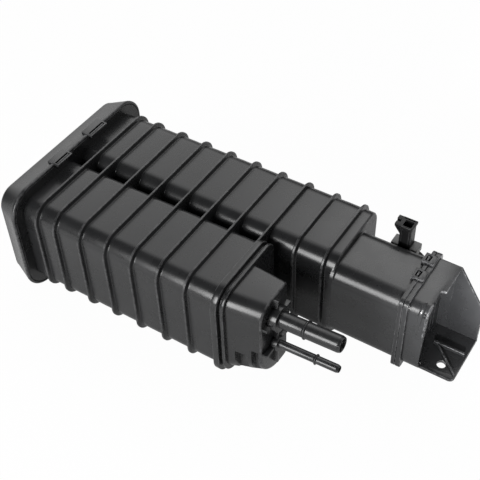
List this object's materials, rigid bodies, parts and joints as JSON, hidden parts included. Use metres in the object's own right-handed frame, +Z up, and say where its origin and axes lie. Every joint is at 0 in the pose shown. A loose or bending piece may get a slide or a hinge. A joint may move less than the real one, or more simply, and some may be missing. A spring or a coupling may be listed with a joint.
{
  "type": "charcoal canister",
  "caption": "Fuel vapour canister: two ribbed carbon chambers in one moulded body, end cover, hose stubs, vent box with a plugged-in valve and a cap with mounting foot.",
  "frame": {"origin": "middle of the base of the bounding box", "axes": "+X from the end cover to the mounting foot, +Y from the front chamber to the rear one, +Z up"},
  "size_m": [0.4424, 0.201, 0.1292],
  "materials": {
    "charcoal_plastic": "satin",
    "connector_plastic": "satin",
    "natural_plastic": "matte",
    "filter_felt": "matte",
    "activated_carbon": "matte",
    "spring_steel": "polished",
    "copper_wire": "satin",
    "black_rubber": "matte",
    "tinned_brass": "polished"
  },
  "bodies": {
    "canister": {"canister_body": "charcoal_plastic", "coil_bobbin": "natural_plastic", "coil_winding": "copper_wire", "dust_filter": "filter_felt", "end_cover": "charcoal_plastic", "front_carbon_bed": "activated_carbon", "front_end_filter": "filter_felt", "front_port_filter": "filter_felt", "front_retainer_plate": "natural_plastic", "front_spring_lower": "spring_steel", "front_spring_upper": "spring_steel", "plunger_spring": "spring_steel", "pole_piece": "spring_steel", "port_cover": "charcoal_plastic", "port_grid": "natural_plastic", "rear_carbon_bed": "activated_carbon", "rear_end_filter": "filter_felt", "rear_retainer_plate": "natural_plastic", "rear_spring_lower": "spring_steel", "rear_spring_upper": "spring_steel", "rear_vent_filter": "filter_felt", "terminal_left": "tinned_brass", "terminal_right": "tinned_brass", "valve_cover": "connector_plastic", "valve_housing": "connector_plastic", "valve_o_ring": "black_rubber", "vent_cap": "charcoal_plastic", "vent_duct": "natural_plastic", "vent_grid": "natural_plastic"},
    "valve_plunger": {"plunger": "spring_steel", "plunger_seal": "black_rubber"}
  },
  "joints": [
    {"name": "plunger_slide", "type": "slide", "parent": "canister", "child": "valve_plunger", "axis": [0, -1, 0], "range_m": [0, 0.0025], "stiffness_N_per_m": 400, "springref_m": -0.004, "deforming": ["plunger_spring"]}
  ]
}
